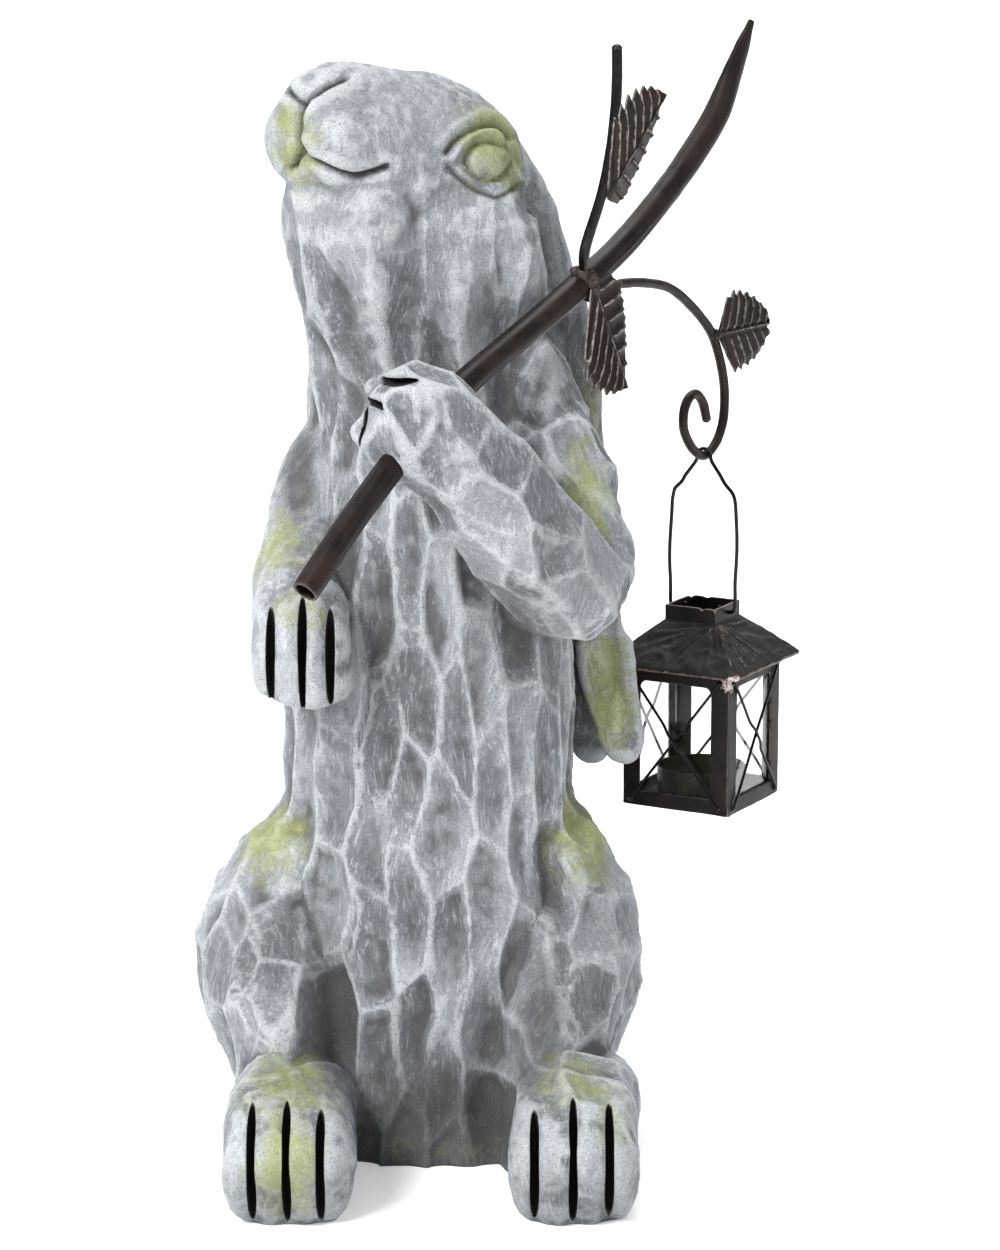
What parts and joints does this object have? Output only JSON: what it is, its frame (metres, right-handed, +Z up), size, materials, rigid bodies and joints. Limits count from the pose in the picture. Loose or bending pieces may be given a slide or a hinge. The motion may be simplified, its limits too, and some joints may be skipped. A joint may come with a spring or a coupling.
{
  "type": "garden statue",
  "caption": "Upright cast stone rabbit holding a steel branch, with a small tin candle lantern swinging from the branch's curled hook.",
  "frame": {"origin": "on the flat underside, straight below the rabbit's spine", "axes": "+Z up, -Y where the rabbit's body and feet face, +X to the side that carries the lantern"},
  "size_m": [0.2829, 0.2745, 0.5075],
  "materials": {
    "stone": "rough cast stone, grey with pale dry-brushed edges and patches of moss",
    "dark_iron": "dark brown-black satin paint with worn spots",
    "black_tin": "black satin paint on thin sheet, worn at the folds",
    "clear_glass": "clear, smooth"
  },
  "bodies": {
    "statue": {"bail": "dark_iron", "branch": "dark_iron", "hook_arm": "dark_iron", "leaf_hook": "dark_iron", "leaf_lower": "dark_iron", "leaf_upper": "dark_iron", "rabbit": "stone", "twig": "dark_iron"},
    "lantern": {"candle_cup": "black_tin", "cross_wire_1a": "dark_iron", "cross_wire_1b": "dark_iron", "cross_wire_2a": "dark_iron", "cross_wire_2b": "dark_iron", "cross_wire_3a": "dark_iron", "cross_wire_3b": "dark_iron", "cross_wire_4a": "dark_iron", "cross_wire_4b": "dark_iron", "glass_pane_1": "clear_glass", "glass_pane_2": "clear_glass", "glass_pane_3": "clear_glass", "glass_pane_4": "clear_glass", "lantern_case": "black_tin", "lantern_roof": "black_tin"}
  },
  "joints": [
    {"name": "lantern_swing", "type": "hinge", "parent": "statue", "child": "lantern", "pos_m": [0.12792, 0.06, 0.2333], "axis": [0.8746, -0.4848, 0], "range_deg": [-12, 100]}
  ]
}
